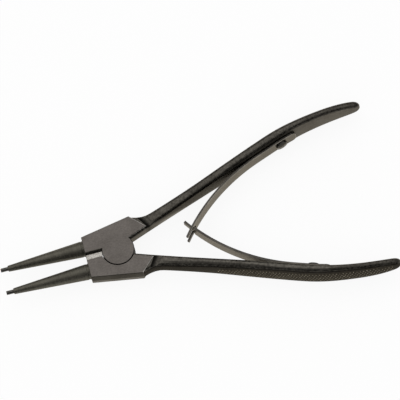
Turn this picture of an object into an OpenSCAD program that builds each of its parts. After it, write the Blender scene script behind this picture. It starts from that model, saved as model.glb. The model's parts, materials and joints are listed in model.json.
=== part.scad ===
// Circlip pliers for external rings: straight jaws, lapped joint, two crossed leaf springs.
// The pivot is the Z axis and z = 0 is the back face of the joint. The jaws point to -X and
// the handles to +X. Both levers are the same forging, one of them turned over about X.
// A lever is drawn on the +Y side, with z = 0 in the middle of the joint and its ear in front.

/* [Joint] */
// Thickness of the lapped joint
joint_t = 7.5; // [7.4:0.1:8.6]
// Radius of the round ear on each lever
ear_r = 7.35; // [6.8:0.05:8]
// Distance from the pivot to the shoulder where the jaws start
shoulder_x = 14.9; // [13:0.1:18]
// Gap between the two joint plates on the jaw side
plate_gap = 2.8; // [2.4:0.1:3.2]
// Height of a joint plate at the shoulder
shoulder_h = 8.6; // [8.4:0.1:10]
// Angle that the outer edge of a plate makes with the tool's axis
plate_flare = 10.1; // [8:0.1:12]
// Distance from the pivot to the outer corner of a plate, along the tool
plate_corner_x = 10.5; // [9.5:0.1:11.5]
// Radius of that corner
plate_corner_r = 2.2; // [1:0.1:3]
// Distance from the pivot to the nose of a plate, along the tool
nose_x = 14.9; // [14:0.1:16]
// Ledge between the edge of the ground face and the inner face of the handle
plate_ledge = 0.9; // [0.6:0.05:1.2]
// Forging draft on the outer flank of a plate
flank_draft = 4; // [1:0.5:7]
// Gap between the lapped faces of the two ears
lap_gap = 0.08; // [0.04:0.01:0.2]
// Gap round an ear, in the recess of the other lever
ear_gap = 0.2; // [0.1:0.05:0.4]

/* [Rivet] */
// Diameter of the pivot rivet
rivet_d = 6; // [5:0.1:7]
// Diameter of its countersunk heads
rivet_head_d = 8; // [7.4:0.1:9.5]
// Height of a countersunk head
rivet_head_h = 1; // [0.6:0.1:1.4]
// Radial clearance of the lever that turns on the rivet
run_gap = 0.04; // [0.02:0.01:0.08]

/* [Jaws] */
// Distance of a jaw's axis from the tool's axis
jaw_y = 5.6; // [5.3:0.1:6.2]
// Diameter of a jaw at the shoulder
jaw_root_d = 7.4; // [6.4:0.1:7.5]
// Diameter of a jaw at its end
jaw_end_d = 2.75; // [2.6:0.05:3.2]
// Length of the tapered jaw
jaw_len = 35.3; // [30:0.1:42]
// Diameter of the hardened tip pin
tip_d = 1.8; // [1.5:0.05:2]
// Length of the pin that stands out of the jaw
tip_len = 3.4; // [2.5:0.1:5]
// Diameter of the spigot that is pressed into the jaw
tip_seat_d = 1.4; // [1.1:0.05:1.45]
// Length of that spigot
tip_seat = 6; // [4:0.1:9]
// Chamfer at the end of the pin
tip_chamfer = 0.2; // [0.1:0.05:0.4]

/* [Handles] */
// Angle between the straight part of a handle and the tool's axis
handle_angle = 20.3; // [19.5:0.1:21.5]
// Distance of the inner face's line from the pivot
handle_offset = 0.93; // [0.6:0.01:1.2]
// Length of the inner face, from the foot of the pivot to the end of the handle
handle_len = 128.1; // [120:0.1:140]
// Distance along the inner face at which the bend starts
bend_from = 85.7; // [82:0.1:90]
// Radius of the bend
bend_r = 110; // [95:1:130]
// Thickness of the handle next to the joint
handle_root_t = 5.6; // [5:0.1:6]
// Thickness of the handle between the joint and the grip
handle_t = 4.25; // [3.8:0.05:4.6]
// Thickness at the end of the grip
grip_t = 3.2; // [3:0.05:3.8]
// Depth of the handle next to the joint
handle_root_d = 6.9; // [6.4:0.1:7.2]
// Depth of the grip
grip_d = 13.4; // [12:0.1:14.5]
// Distance along the inner face at which the grip reaches its depth
grip_from = 80; // [72:0.5:86]
// Distance along the inner face at which the round end starts
end_from = 90; // [84:0.5:100]
// Radius of the hollow between the plate's corner and the handle
root_hollow_r = 10; // [8:0.5:14]
// Radius of the hollow across the handle, along the border of the plate
cove_r = 1.7; // [1.2:0.1:2.5]
// Depth of that hollow
cove_dip = 0.55; // [0.3:0.05:0.8]
// Radius of the edges of a handle
handle_edge_r = 1.4; // [0.8:0.05:1.4]
// Height of the crown on the outer face of the grip
grip_crown = 0.3; // [0:0.05:0.6]

/* [Springs] */
// Width of a spring
spring_w = 6.6; // [6:0.1:7.5]
// Thickness of a spring
spring_t = 0.9; // [0.6:0.05:1.1]
// Radius to which the free length is bowed
spring_bow_r = 88; // [84:1:94]
// Distance along the inner face at which the springs end
spring_root = 96.4; // [94:0.1:98]
// Distance along the inner face at which the forked spring lifts off
fork_lift = 75.8; // [74:0.1:76.5]
// Distance along the inner face at which the tongued spring lifts off
tongue_lift = 79.6; // [78.5:0.1:81]
// Free length of the forked spring
fork_free = 50.2; // [48.5:0.1:51]
// Free length of the tongued spring
tongue_free = 55.4; // [54.5:0.1:57]
// Radius of the corners at the screwed end
spring_corner_r = 2; // [1:0.1:3]
// Width of the slot in the fork
fork_slot_w = 4.2; // [3.8:0.1:4.5]
// Distance from where the springs cross to the round bottom of the slot
fork_room = 1.9; // [1.8:0.05:2.6]
// Width of the tongue
tongue_w = 3; // [2.4:0.1:3.2]
// Distance from where the springs cross to the shoulders of the tongue
tongue_room = 1.1; // [1:0.05:2]

/* [Spring screws] */
// Distance along the inner face at which the screws sit
screw_at = 88.6; // [87:0.1:90]
// Diameter of a screw's head
screw_head_d = 5.4; // [4.8:0.1:5.8]
// Height of the head's straight rim
screw_rim_h = 1.1; // [0.8:0.1:1.6]
// Height of the dome above the rim
screw_dome_h = 0.4; // [0.3:0.1:1]
// Width of the driver slot
screw_slot_w = 0.9; // [0.6:0.1:1.2]
// Depth of the driver slot
screw_slot_h = 0.6; // [0.4:0.1:0.8]
// Diameter of the screw's shank
screw_d = 3; // [2.5:0.1:3.4]
// Depth of the shank in the handle
screw_depth = 2.1; // [1.6:0.1:2.3]
// Radial clearance of the shank in the spring
screw_gap = 0.15; // [0.05:0.05:0.3]

/* [Hidden] */
$fn = 64;

forged = [0.27, 0.25, 0.23];
ground = [0.40, 0.38, 0.36];
spring_steel = [0.45, 0.43, 0.41];
blackened = [0.12, 0.12, 0.12];

// Overlap of bodies that are one solid, and reach of a cutter past the face that it opens
weld = 1;
past = 5;

half_t = joint_t / 2;

// Smooth step from 0 to 1
function ease(q) = let (c = min(1, max(0, q))) c * c * (3 - 2 * c);

// Unit vectors along a heading and to its left
function ahead(a) = [cos(a), sin(a)];
function left(a) = [-sin(a), cos(a)];

// Inner face of the handle: a straight line, then a bend back towards the tool's axis
face_start = handle_offset * left(handle_angle);
bend_point = face_start + bend_from * ahead(handle_angle);
function face_heading(s) = handle_angle - max(0, s - bend_from) / bend_r * 180 / PI;
function face_point(s) =
    s <= bend_from ? face_start + s * ahead(handle_angle)
                   : bend_point + bend_r * (left(face_heading(s)) - left(handle_angle));

// Thickness along the handle: it flares in a hollow at the joint and thins again in the grip
taper_from = 13;
taper_to = 48;
thin_from = 82;
thin_to = 110;
hollow_to = 21;
function thickness(s) =
    let (q = min(1, max(0, (taper_to - s) / (taper_to - taper_from))))
    let (h = max(0, hollow_to - max(s, taper_from)))
    handle_t + (handle_root_t - handle_t) * q ^ 1.5 + h ^ 2 / (2 * root_hollow_r)
    - (handle_t - grip_t) * ease((s - thin_from) / (thin_to - thin_from));

// Depth along the handle: it spreads to the grip and ends in a round tongue
end_power = 2.8;
function round_off(s, from, power) =
    let (q = max(0, (s - from) / (handle_len - from)))
    (1 - q ^ power) ^ (1 / power);
function depth(s) =
    (handle_root_d + (grip_d - handle_root_d) * ease((s - taper_from) / (grip_from - taper_from)))
    * round_off(s, end_from, end_power);

// Share of the thickness that is left near the end, where the handle is rounded over
nose_len = 3;
function nose(s) = round_off(s, handle_len - nose_len, 2);

// Section of the handle as [distance outwards, height] points round its rim
edge_steps = 4;
function edge(n, z, r, turn) =
    [for (i = [0 : edge_steps]) [n, z] + r * ahead(turn + 90 * i / edge_steps)];
function section(s) =
    let (full = thickness(s), t = full * nose(s), d = depth(s))
    let (r = min(handle_edge_r, 0.45 * t, 0.45 * d))
    let (n0 = (full - t) / 2 + r, n1 = (full + t) / 2 - r, z1 = d / 2 - r)
    let (crown = grip_crown * nose(s))
    concat(edge(n0, -z1, r, 180), edge(n1, -z1, r, 270),
           [for (c = [-0.5, 0, 0.5]) [n1 + r + crown * (1 - c ^ 2), c * z1]],
           edge(n1, z1, r, 0), edge(n0, z1, r, 90));

// Places of the sections: close at the hollow, wider on the straight part, close at the end
sweep_from = 5;
tongue_end = 8;
end_gap = 0.05;
function spread(a, b, n) = [for (i = [0 : n - 1]) a + (b - a) * i / n];
stations = concat(
    spread(sweep_from, hollow_to, 5),
    spread(hollow_to, bend_from, 11),
    spread(bend_from, handle_len - tongue_end, 12),
    [for (i = [0 : 9]) handle_len - tongue_end + (tongue_end - end_gap) * sin(10 * i)]);

// Inner face as the sections leave it, so that what lies on it touches it all over
function seat_point(s) =
    let (i = max([for (k = [0 : len(stations) - 2]) if (stations[k] <= s) k]))
    let (q = (s - stations[i]) / (stations[i + 1] - stations[i]))
    (1 - q) * face_point(stations[i]) + q * face_point(stations[i + 1]);

// Moves to a place on the inner face, with X along the handle and Z out of the face
module on_face(s) {
    translate(seat_point(s)) rotate(face_heading(s)) rotate([90, 0, 0]) children();
}

module handle() {
    n = len(section(stations[0]));
    m = len(stations);
    points = [for (s = stations)
        let (foot = face_point(s), out = left(face_heading(s)))
        each [for (p = section(s)) [foot.x + p[0] * out.x, foot.y + p[0] * out.y, p[1]]]];
    walls = [for (j = [0 : m - 2], i = [0 : n - 1])
        let (a = j * n + i, b = j * n + (i + 1) % n)
        each [[a, b + n, b], [a, a + n, b + n]]];
    caps = [[for (i = [0 : n - 1]) i], [for (i = [n - 1 : -1 : 0]) (m - 1) * n + i]];
    polyhedron(points, concat(walls, caps));
}

// Outline of the joint plate, as ground on its front and back
shoulder_low = [-shoulder_x, plate_gap / 2];
shoulder_high = [-shoulder_x, plate_gap / 2 + shoulder_h];
plate_corner = shoulder_high + (plate_corner_x + shoulder_x) * [1, tan(plate_flare)];
ledge_start = face_start + plate_ledge * left(handle_angle);
plate_nose = ledge_start + (nose_x - ledge_start.x) / cos(handle_angle) * ahead(handle_angle);
plate_heel = ledge_start + (plate_gap / 2 - ledge_start.y) / sin(handle_angle) * ahead(handle_angle);

// The draft makes the outer edge stand out by this much in the middle of the thickness
flank_rise = half_t * tan(flank_draft);

// Round corner at p between the lines to a and b
corner_steps = 8;
function round_corner(a, p, b, r) =
    let (u = (a - p) / norm(a - p), v = (b - p) / norm(b - p))
    let (half = acos(u * v) / 2)
    let (centre = p + (u + v) / norm(u + v) * r / sin(half))
    let (first = p + u * r / tan(half) - centre, last = p + v * r / tan(half) - centre)
    [for (i = [0 : corner_steps])
        let (q = i / corner_steps, mid = (1 - q) * first + q * last)
        centre + mid / norm(mid) * r];

module plate() {
    rise = [0, flank_rise / cos(plate_flare)];
    reach = half_t + past;
    difference() {
        linear_extrude(joint_t, center = true)
            polygon(concat([shoulder_low, shoulder_high + rise],
                           round_corner(shoulder_high + rise, plate_corner + rise, plate_nose,
                                        plate_corner_r),
                           [plate_nose, plate_heel]));
        translate(shoulder_high) rotate(plate_flare) translate([-past, 0, 0])
            rotate([90, 0, 90])
                linear_extrude(shoulder_x + plate_corner_x + 2 * past)
                    polygon([[flank_rise, 0],
                             [flank_rise - reach * tan(flank_draft), reach],
                             [flank_rise + past, reach],
                             [flank_rise + past, -reach],
                             [flank_rise - reach * tan(flank_draft), -reach]]);
    }
}

// Space of the hollows along the plate's border, in the front and the back of the handle
module coves() {
    border = plate_corner - plate_nose;
    out = [border.y, -border.x] / norm(border);
    half_w = sqrt(cove_r ^ 2 - (cove_r - cove_dip) ^ 2);
    middle = (plate_corner + plate_nose) / 2 + half_w * out;
    lift = handle_root_d / 2 + cove_r - cove_dip;
    for (side = [-1, 1])
        translate([middle.x, middle.y, side * lift]) rotate([0, 90, atan2(border.y, border.x)])
            cylinder(h = 4 * norm(border), r = cove_r, center = true);
}

// The jaw's taper runs on into the plate, so that the two are one solid
module jaw() {
    taper = (jaw_root_d - jaw_end_d) / jaw_len;
    translate([weld - shoulder_x, jaw_y, 0]) rotate([0, -90, 0])
        cylinder(h = jaw_len + weld, d1 = jaw_root_d + taper * weld, d2 = jaw_end_d);
}

// Hole for the rivet, with the countersink in the front of the ear
module rivet_hole(gap) {
    shank_r = rivet_d / 2 + gap;
    head_r = rivet_head_d / 2 + gap;
    rotate_extrude()
        polygon([[0, -past], [shank_r, -past], [shank_r, half_t - rivet_head_h],
                 [head_r, half_t], [head_r, half_t + past], [0, half_t + past]]);
}

module lever(gap) {
    difference() {
        union() {
            difference() {
                union() {
                    plate();
                    difference() {
                        handle();
                        coves();
                    }
                }
                translate([0, 0, -half_t - past])
                    cylinder(h = half_t + past + lap_gap / 2, r = ear_r + ear_gap);
            }
            translate([0, 0, lap_gap / 2]) cylinder(h = half_t - lap_gap / 2, r = ear_r);
            jaw();
        }
        rivet_hole(gap);
        tip_space() cylinder(h = tip_seat + past, d = tip_seat_d);
        on_face(screw_at) translate([0, 0, -screw_depth])
            cylinder(h = screw_depth + past, d = screw_d);
    }
}

// Moves to the bottom of a tip's hole, with Z along the jaw towards its end
module tip_space() {
    translate([tip_seat - shoulder_x - jaw_len, jaw_y, 0]) rotate([0, -90, 0]) children();
}

module tip() {
    r = tip_d / 2;
    seat_r = tip_seat_d / 2;
    h = tip_seat + tip_len;
    tip_space() rotate_extrude()
        polygon([[0, 0], [seat_r, 0], [seat_r, tip_seat], [r, tip_seat],
                 [r, h - tip_chamfer], [r - tip_chamfer, h], [0, h]]);
}

// Free length of a spring, which leaves the inner face and bows away from the handle
function free_heading(lift, u) = face_heading(lift) + u / spring_bow_r * 180 / PI;
function free_point(lift, u) =
    seat_point(lift) + spring_bow_r * (left(free_heading(lift, u)) - left(face_heading(lift)));

// Where the springs cross, on the middle lines of both bows
function bow_centre(lift) = seat_point(lift) - spring_bow_r * left(face_heading(lift));
function turned_over(p) = [p.x, -p.y];
fork_centre = bow_centre(fork_lift);
centre_way = turned_over(bow_centre(tongue_lift)) - fork_centre;
bow_mid_r = spring_bow_r - spring_t / 2;
cross_point = fork_centre + centre_way / 2
    + sqrt(bow_mid_r ^ 2 - (norm(centre_way) / 2) ^ 2) * [-centre_way.y, centre_way.x] / norm(centre_way);

// Free length of a spring from its lift to a point on it
function free_to(lift, p) =
    let (way = p - bow_centre(lift))
    (atan2(way.y, way.x) - 90 - face_heading(lift)) * PI / 180 * spring_bow_r;

// Strip of spring steel: its side on the handle and its free side, from end to end
bow_steps = 16;
module strip(lift, free) {
    seats = concat([lift], [for (s = stations) if (s > lift && s < spring_root) s], [spring_root]);
    bows = [for (i = [0 : bow_steps - 1]) free * (1 - i / bow_steps)];
    near = concat([for (u = bows) free_point(lift, u)], [for (s = seats) seat_point(s)]);
    headings = concat([for (u = bows) free_heading(lift, u)], [for (s = seats) face_heading(s)]);
    last = len(near) - 1;
    far = [for (i = [last : -1 : 0]) near[i] - spring_t * left(headings[i])];
    difference() {
        linear_extrude(spring_w, center = true) polygon(concat(near, far));
        on_face(screw_at) translate([0, 0, -past])
            cylinder(h = 2 * past, d = screw_d + 2 * screw_gap);
        on_face(spring_root) for (side = [-1, 1])
            translate([-spring_corner_r, side * (spring_w / 2 - spring_corner_r), -past])
                difference() {
                    translate([0, side > 0 ? 0 : -past, 0]) cube([past, past, 2 * past]);
                    cylinder(h = 2 * past, r = spring_corner_r);
                }
    }
}

// Moves to the free end of a spring, with X back along it and Z across its width
module at_free_end(lift, free) {
    translate(free_point(lift, free)) rotate(free_heading(lift, free)) children();
}

module forked_spring() {
    straight = fork_free - free_to(fork_lift, cross_point) + fork_room - fork_slot_w / 2;
    difference() {
        strip(fork_lift, fork_free);
        at_free_end(fork_lift, fork_free) rotate([90, 0, 0]) translate([0, 0, -past]) {
            translate([-past, -fork_slot_w / 2, 0])
                cube([past + straight, fork_slot_w, 2 * past]);
            translate([straight, 0, 0]) cylinder(h = 2 * past, d = fork_slot_w);
        }
    }
}

module tongued_spring() {
    tongue_len = tongue_free - free_to(tongue_lift, turned_over(cross_point)) + tongue_room;
    difference() {
        strip(tongue_lift, tongue_free);
        at_free_end(tongue_lift, tongue_free) for (side = [0, 1])
            mirror([0, 0, side]) translate([-past, -past, tongue_w / 2])
                cube([past + tongue_len, 2 * past, spring_w]);
    }
}

// Slotted screw with a raised head. The face under it is hollow, so the rim is what touches.
module spring_screw() {
    head_r = screw_head_d / 2;
    rim_seat = spring_t + head_r ^ 2 / (2 * bend_r);
    dome_r = (head_r ^ 2 + screw_dome_h ^ 2) / (2 * screw_dome_h);
    head_h = screw_rim_h + screw_dome_h;
    on_face(screw_at) {
        translate([0, 0, -screw_depth]) cylinder(h = screw_depth + rim_seat + weld / 2, d = screw_d);
        translate([0, 0, rim_seat]) difference() {
            intersection() {
                cylinder(h = head_h, r = head_r);
                translate([0, 0, head_h - dome_r]) sphere(dome_r);
            }
            translate([-past, -screw_slot_w / 2, head_h - screw_slot_h])
                cube([2 * past, screw_slot_w, past]);
        }
    }
}

// Places of the two levers in the tool
module upper() { translate([0, 0, half_t]) children(); }
module lower() { upper() rotate([180, 0, 0]) children(); }

module upper_half() { color(forged) upper() lever(run_gap); }
module lower_half() { color(forged) lower() lever(0); }
module upper_tip() { color(ground) upper() tip(); }
module lower_tip() { color(ground) lower() tip(); }
module upper_spring() { color(spring_steel) upper() forked_spring(); }
module lower_spring() { color(spring_steel) lower() tongued_spring(); }
module upper_spring_screw() { color(blackened) upper() spring_screw(); }
module lower_spring_screw() { color(blackened) lower() spring_screw(); }

module pivot_rivet() {
    r = rivet_d / 2;
    head_r = rivet_head_d / 2;
    color(ground) rotate_extrude()
        polygon([[0, 0], [head_r, 0], [r, rivet_head_h], [r, joint_t - rivet_head_h],
                 [head_r, joint_t], [0, joint_t]]);
}

upper_half();
lower_half();
pivot_rivet();
upper_tip();
lower_tip();
upper_spring();
lower_spring();
upper_spring_screw();
lower_spring_screw();
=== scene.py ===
"""Dresses circlip pliers for external rings: levers, tips, rivet, leaf springs and their screws.

A piece is modelled in millimetres in the space of its lever, where z = 0 is the middle of the
joint and the lever lies on the +Y side. It is then settled into the tool's frame, in metres.
"""

import json
import logging
import math
from collections.abc import Callable, Iterator
from contextlib import contextmanager
from dataclasses import dataclass
from enum import Enum
from functools import reduce

import bmesh
import bpy
from mathutils import Matrix, Vector

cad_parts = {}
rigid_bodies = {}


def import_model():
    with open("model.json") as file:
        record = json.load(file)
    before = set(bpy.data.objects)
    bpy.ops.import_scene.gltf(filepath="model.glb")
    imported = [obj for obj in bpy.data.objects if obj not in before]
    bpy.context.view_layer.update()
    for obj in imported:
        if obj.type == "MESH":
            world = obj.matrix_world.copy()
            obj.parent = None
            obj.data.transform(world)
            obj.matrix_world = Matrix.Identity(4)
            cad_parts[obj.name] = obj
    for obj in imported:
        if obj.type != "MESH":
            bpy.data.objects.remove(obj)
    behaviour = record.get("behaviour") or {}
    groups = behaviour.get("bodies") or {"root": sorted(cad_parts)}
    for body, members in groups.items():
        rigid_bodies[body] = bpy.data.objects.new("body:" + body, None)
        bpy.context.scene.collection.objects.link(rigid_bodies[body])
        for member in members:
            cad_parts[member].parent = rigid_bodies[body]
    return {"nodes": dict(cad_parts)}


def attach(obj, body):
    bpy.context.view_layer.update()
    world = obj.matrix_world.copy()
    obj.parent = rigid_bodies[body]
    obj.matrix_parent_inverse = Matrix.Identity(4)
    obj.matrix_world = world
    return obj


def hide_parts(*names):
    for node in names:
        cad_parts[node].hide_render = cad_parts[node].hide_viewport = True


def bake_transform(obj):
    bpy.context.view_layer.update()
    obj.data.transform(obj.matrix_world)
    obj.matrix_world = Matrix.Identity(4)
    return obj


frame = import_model()

LOG = logging.getLogger("circlip_pliers")
MM = 0.001
JOINT_T = 7.5
HALF_T = JOINT_T / 2

# Points closer than this many millimetres are one; a cut along a plane needs the finer value
TOUCH = 0.001
CUT_TOUCH = 0.00001

# How far a cutter reaches past what it cuts, in millimetres
REACH = 10.0

# Part of a face's normal along an axis, from which the face points that way, leans or turns to it
SQUARE = 0.99
LEANING = 0.3
SLIGHT = 0.2

# Sides of round pieces, and the turn that lays one along the tool
EAR_SIDES = 96
JAW_SIDES = 72
BORE_SIDES = 64
SMALL_SIDES = 48
ALONG_TOOL = (0, -math.pi / 2, 0)

# Noise of the finishes, and the span of it that counts
PATCH_DETAIL = 4.0
PATCH_SPAN = (0.35, 0.65)
GRAIN_DETAIL = 5.0
GRAIN_SPAN = (0.3, 0.7)
BUMP_STRENGTH = 0.6

# Worn edges: how pointed they are, the grain that breaks them up, and what it leaves
POINTED_SPAN = (0.53, 0.62)
BREAK_SPAN = (0.35, 0.6)
BREAK_LEFT = (0.1, 1.0)

# Places of a Mix node's colour sockets
MIX_FIRST = 6
MIX_SECOND = 7
MIX_RESULT = 2

# Point attribute of the forgings with painted shade and painted light, from -1, painted light, to 1,
# painted shade
PAINTED_SHADING = "soot"
PAINTED_SHADING_SPAN = (-1.0, 1.0)

Triple = tuple[float, float, float]
Span = tuple[float, float]
Object = bpy.types.Object
Edge = bmesh.types.BMEdge
Face = bpy.types.MeshPolygon
Tree = bpy.types.NodeTree
Node = bpy.types.Node
Socket = bpy.types.NodeSocket


class Half(Enum):
    """The two levers of the tool."""

    UPPER = "upper"
    LOWER = "lower"

    @property
    def body(self) -> str:
        """Name of the CAD body that the lever's pieces ride on."""
        return self.named("lever")

    @property
    def other(self) -> "Half":
        """The lever on the other side of the joint."""
        return Half.LOWER if self is Half.UPPER else Half.UPPER

    def named(self, what: str) -> str:
        """Name of one of the lever's pieces, nodes or bodies."""
        return f"{self.value}_{what}"

    def place(self) -> Matrix:
        """Matrix from the lever's own millimetres to the tool's metres."""
        turn = Matrix.Identity(4) if self is Half.UPPER else Matrix.Rotation(math.pi, 4, "X")
        return Matrix.Scale(MM, 4) @ Matrix.Translation((0, 0, HALF_T)) @ turn


class Pick(Enum):
    """What a selection holds; the value is the mesh's list of it."""

    VERT = "verts"
    EDGE = "edges"
    FACE = "faces"


class Way(Enum):
    """A direction across a bar that lies along X; the value is its place in a vector."""

    THICKNESS = 1
    DEPTH = 2


class Cut(Enum):
    """How one solid is worked into another."""

    JOIN = "UNION"
    REMOVE = "DIFFERENCE"


class Side(Enum):
    """The two sides of a lever along the pivot; the value is the sign of its z there."""

    FRONT = 1
    BACK = -1


def ahead(angle: float) -> Vector:
    """Unit vector along a heading in the plane of the tool."""
    return Vector((math.cos(angle), math.sin(angle), 0))


def left(angle: float) -> Vector:
    """Unit vector to the left of a heading."""
    return Vector((-math.sin(angle), math.cos(angle), 0))


def right_of(way: Vector) -> Vector:
    """A vector of the plane of the tool, turned a quarter to the right."""
    return Vector((way.y, -way.x, 0))


def fade(q: float, span: Span) -> float:
    """Smooth step from 0 where a span starts to 1 where it ends."""
    share = min(1.0, max(0.0, (q - span[0]) / (span[1] - span[0])))
    return share * share * (3 - 2 * share)


def only(obj: Object) -> None:
    """Makes one object the only selected one, and the active one.

    Args:
        obj: the object.
    """
    bpy.ops.object.select_all(action="DESELECT")
    obj.select_set(True)
    bpy.context.view_layer.objects.active = obj


def started(name: str) -> Object:
    """Names the primitive that was just added and applies its place.

    Args:
        name: the piece's name.

    Returns:
        The object, at the origin, with its place in its mesh.
    """
    obj = bpy.context.object
    obj.name = name
    obj.data.name = name
    only(obj)
    bpy.ops.object.transform_apply(location=True, rotation=True, scale=True)
    return obj


@contextmanager
def shaping(obj: Object) -> Iterator[None]:
    """Edit mode on one object, with nothing selected.

    Args:
        obj: the object.
    """
    only(obj)
    bpy.ops.object.mode_set(mode="EDIT")
    bpy.ops.mesh.select_all(action="DESELECT")
    yield
    bpy.ops.object.mode_set(mode="OBJECT")


def pick(obj: Object, kind: Pick, test: Callable[..., bool]) -> None:
    """Selects what passes a test, and nothing else, on an object in edit mode.

    Args:
        obj: the object.
        kind: vertices, edges or faces.
        test: says whether one of them is wanted.
    """
    bpy.ops.mesh.select_mode(type=kind.name)
    bpy.ops.mesh.select_all(action="DESELECT")
    mesh = bmesh.from_edit_mesh(obj.data)
    for item in getattr(mesh, kind.value):
        if test(item):
            item.select_set(True)
    bmesh.update_edit_mesh(obj.data)


def lies_at(edge: Edge, x: float) -> bool:
    """Says whether an edge lies in the plane at x."""
    return all(abs(vertex.co.x - x) < TOUCH for vertex in edge.verts)


def is_along(edge: Edge, way: Way) -> bool:
    """Says whether an edge runs straight across a bar in one direction."""
    run = edge.verts[0].co - edge.verts[1].co
    return all((abs(part) > TOUCH) == (place == way.value) for place, part in enumerate(run))


def stretch(by: Triple, centre: Triple) -> None:
    """Scales what is selected in edit mode about a point."""
    bpy.ops.transform.resize(value=by, center_override=centre)


def extrude(way: Triple) -> None:
    """Extrudes what is selected in edit mode."""
    bpy.ops.mesh.extrude_region_move(TRANSFORM_OT_translate={"value": way})


def bevel(width: float, steps: int = 2) -> None:
    """Rounds the edges that are selected in edit mode."""
    bpy.ops.mesh.bevel(offset=width, segments=steps, affect="EDGES")


def slice_off(point: Vector, normal: Vector, keep_all: bool = False) -> None:
    """Cuts the mesh in edit mode along a plane.

    Args:
        point: a point on the plane.
        normal: the side that is thrown away lies this way.
        keep_all: only adds the edges of the cut, and throws nothing away.
    """
    bpy.ops.mesh.select_all(action="SELECT")
    throw = not keep_all
    bpy.ops.mesh.bisect(
        plane_co=point, plane_no=normal, threshold=CUT_TOUCH, use_fill=throw, clear_outer=throw
    )


def cut_across(x: float) -> None:
    """Adds the edges of a cut across the mesh in edit mode at x."""
    slice_off(Vector((x, 0, 0)), Vector((1, 0, 0)), keep_all=True)


def block(name: str, size: Triple, middle: Triple) -> Object:
    """Stretches a cube to a block.

    Args:
        name: the piece's name.
        size: its lengths along X, Y and Z.
        middle: its middle.

    Returns:
        The block.
    """
    bpy.ops.mesh.primitive_cube_add(size=1, location=middle)
    made = started(name)
    with shaping(made):
        bpy.ops.mesh.select_all(action="SELECT")
        stretch(size, middle)
    return made


def rod(
    name: str, sides: int, radius: float, length: float, middle: Triple, turn: Triple = (0, 0, 0)
) -> Object:
    """Starts a round piece from a cylinder.

    Args:
        name: the piece's name.
        sides: how many sides its round face has.
        radius: its radius.
        length: its length along its axis.
        middle: its middle.
        turn: how its axis is turned from Z.

    Returns:
        The cylinder.
    """
    bpy.ops.mesh.primitive_cylinder_add(
        vertices=sides, radius=radius, depth=length, location=middle, rotation=turn
    )
    return started(name)


def finish_with(obj: Object, kind: str, **settings: object) -> None:
    """Adds a modifier to an object, sets it and applies it.

    Args:
        obj: the object.
        kind: the modifier's type.
        settings: the modifier's values.
    """
    only(obj)
    modifier = obj.modifiers.new(kind.lower(), kind)
    for key, value in settings.items():
        setattr(modifier, key, value)
    bpy.ops.object.modifier_apply(modifier=modifier.name)


def combine(obj: Object, tool: Object, how: Cut) -> None:
    """Works one solid into another and deletes it.

    Args:
        obj: the solid that stays.
        tool: the solid that is added or cut away.
        how: which of the two.
    """
    choices = {"solver": "EXACT", "material_mode": "TRANSFER"}
    finish_with(obj, "BOOLEAN", operation=how.value, object=tool, **choices)
    bpy.data.objects.remove(tool)


def break_edges(obj: Object, width: float, degrees: float) -> None:
    """Rounds all edges of an object that are sharper than an angle.

    Args:
        obj: the object.
        width: the width that is taken off each face.
        degrees: the angle.
    """
    sharp = {"limit_method": "ANGLE", "angle_limit": math.radians(degrees)}
    finish_with(obj, "BEVEL", width=width, segments=2, **sharp)


def soften(obj: Object, degrees: float = 32) -> None:
    """Shades an object smooth, with its flat faces kept flat.

    Args:
        obj: the object.
        degrees: the angle above which an edge stays sharp.
    """
    only(obj)
    bpy.ops.object.shade_smooth_by_angle(angle=math.radians(degrees))
    finish_with(obj, "WEIGHTED_NORMAL", weight=90, keep_sharp=True)


@dataclass(frozen=True)
class Run:
    """A stretch of a flat path: its length and its turn to the left for each millimetre."""

    length: float
    turn: float = 0.0


def bend_along(obj: Object, start: Vector, heading: float, runs: list[Run]) -> None:
    """Bends a piece that was modelled along X onto a flat path, with its Y to the path's left.

    Args:
        obj: the piece, with many cuts along X.
        start: where the path starts.
        heading: the path's heading there.
        runs: the path's straight and curved stretches.
    """
    curve = bpy.data.curves.new("bend_path", "CURVE")
    curve.dimensions = "2D"
    curve.resolution_u = 64
    spline = curve.splines.new("BEZIER")
    spline.bezier_points.add(len(runs))
    knots = spline.bezier_points
    for knot in knots:
        knot.handle_left_type = knot.handle_right_type = "FREE"
    point = Vector(start)
    knots[0].co = point
    knots[0].handle_left = point - ahead(heading)
    for knot, following, run in zip(knots, knots[1:], runs):
        angle = run.length * run.turn
        radius = 1 / run.turn if run.turn else 0.0
        reach = 4 / 3 * math.tan(angle / 4) * radius if run.turn else run.length / 3
        knot.handle_right = point + reach * ahead(heading)
        if run.turn:
            point = point + radius * (left(heading) - left(heading + angle))
        else:
            point = point + run.length * ahead(heading)
        heading += angle
        following.co = point
        following.handle_left = point - reach * ahead(heading)
        following.handle_right = point + ahead(heading)
    path = bpy.data.objects.new("bend_path", curve)
    bpy.context.scene.collection.objects.link(path)
    finish_with(obj, "CURVE", object=path, deform_axis="POS_X")
    bpy.data.objects.remove(path)
    bpy.data.curves.remove(curve)


def settle(obj: Object, half: Half, what: str) -> Object:
    """Makes a piece's own copy for one lever, in the tool's frame and in metres.

    Args:
        obj: the piece in the lever's own space.
        half: the lever that it belongs to.
        what: the piece's name without the lever's.

    Returns:
        The copy.
    """
    piece = obj.copy()
    piece.data = obj.data.copy()
    piece.name = half.named(what)
    piece.data.name = piece.name
    bpy.context.scene.collection.objects.link(piece)
    piece.matrix_world = half.place() @ obj.matrix_world
    only(piece)
    bpy.ops.object.transform_apply(location=True, rotation=True, scale=True)
    LOG.info("%s: %d faces", piece.name, len(piece.data.polygons))
    return piece


def stand_for(piece: Object, half: Half, node: str) -> None:
    """Lets a piece ride on a lever and stand for one of its CAD nodes.

    Args:
        piece: the finished piece.
        half: the lever.
        node: the name, without the lever's, of the CAD node that is no longer shown.
    """
    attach(piece, half.body)
    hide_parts(half.named(node))


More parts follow.
